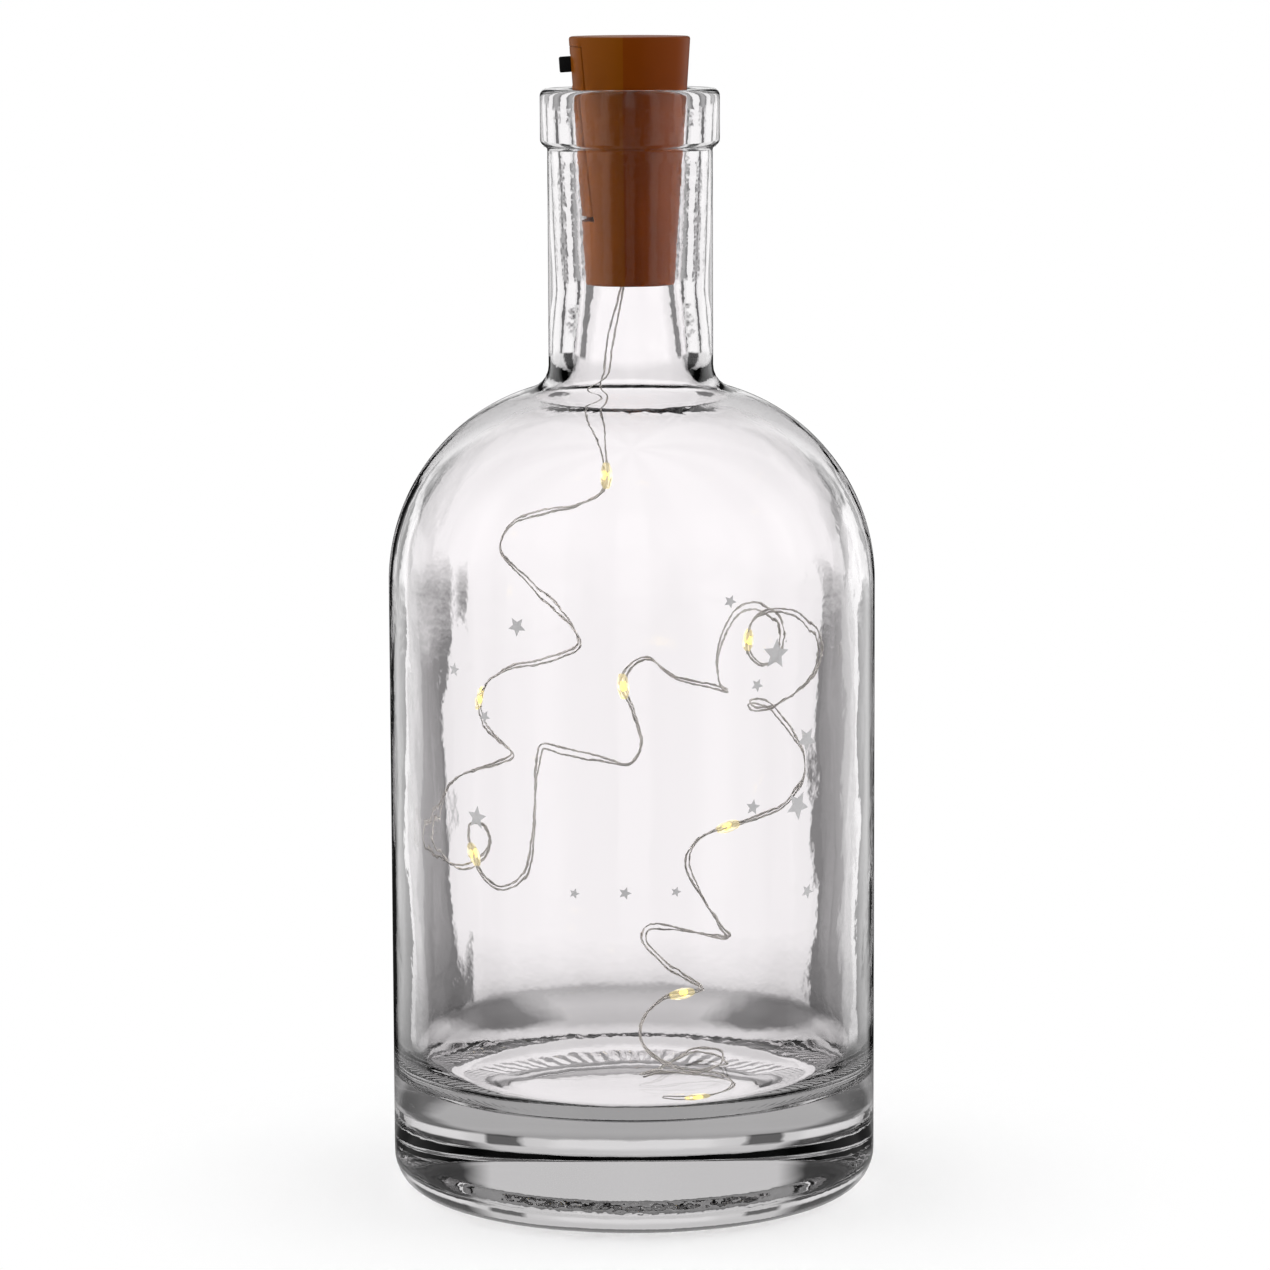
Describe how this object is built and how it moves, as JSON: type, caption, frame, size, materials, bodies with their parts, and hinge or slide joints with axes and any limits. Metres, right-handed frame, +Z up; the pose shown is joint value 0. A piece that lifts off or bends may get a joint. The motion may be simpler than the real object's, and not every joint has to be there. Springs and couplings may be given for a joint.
{
  "type": "bottle light",
  "caption": "Clear round-shouldered glass bottle with a cork-coloured battery stopper, a slide switch and a string of micro lights inside",
  "frame": {"origin": "middle of the bottle's standing ring, on the table", "axes": "+Z up along the bottle, -Y towards the side that the picture shows, -X towards the slide switch"},
  "size_m": [0.082, 0.082, 0.1951],
  "materials": {
    "clear_glass": "clear, polished, with frosted stars",
    "cork_plastic": "satin moulded plastic, cork brown",
    "black_plastic": "satin black",
    "board": "green solder mask",
    "ceramic": "matt dark ceramic",
    "cell_steel": "plated steel",
    "contact_brass": "bright strip",
    "silver_wire": "lacquered silver-coloured wire",
    "light_resin": "clear resin drop over a warm light chip"
  },
  "bodies": {
    "bottle": {"glass_bottle": "clear_glass", "string_wire_1": "silver_wire", "string_wire_2": "silver_wire", "string_wire_3": "silver_wire", "string_wire_4": "silver_wire", "string_wire_5": "silver_wire", "string_wire_6": "silver_wire", "string_wire_7": "silver_wire", "string_wire_8": "silver_wire", "string_tail": "silver_wire", "led_bead_1": "light_resin", "led_bead_2": "light_resin", "led_bead_3": "light_resin", "led_bead_4": "light_resin", "led_bead_5": "light_resin", "led_bead_6": "light_resin", "led_bead_7": "light_resin", "led_bead_8": "light_resin"},
    "stopper": {"stopper_housing": "cork_plastic", "battery_cover": "cork_plastic", "lead_wire": "silver_wire", "circuit_board": "board", "switch_case": "black_plastic", "resistor": "ceramic", "button_cell_1": "cell_steel", "button_cell_2": "cell_steel", "button_cell_3": "cell_steel", "contact_bottom": "contact_brass", "contact_top": "contact_brass"},
    "switch": {"switch_knob": "black_plastic"}
  },
  "joints": [
    {"name": "stopper_lift", "type": "slide", "parent": "bottle", "child": "stopper", "axis": [0, 0, 1], "range_m": [0, 0.05], "deforming": ["string_wire_1"]},
    {"name": "switch_slide", "type": "slide", "parent": "stopper", "child": "switch", "axis": [0.0648, 0, -0.9979], "range_m": [0, 0.002]}
  ]
}
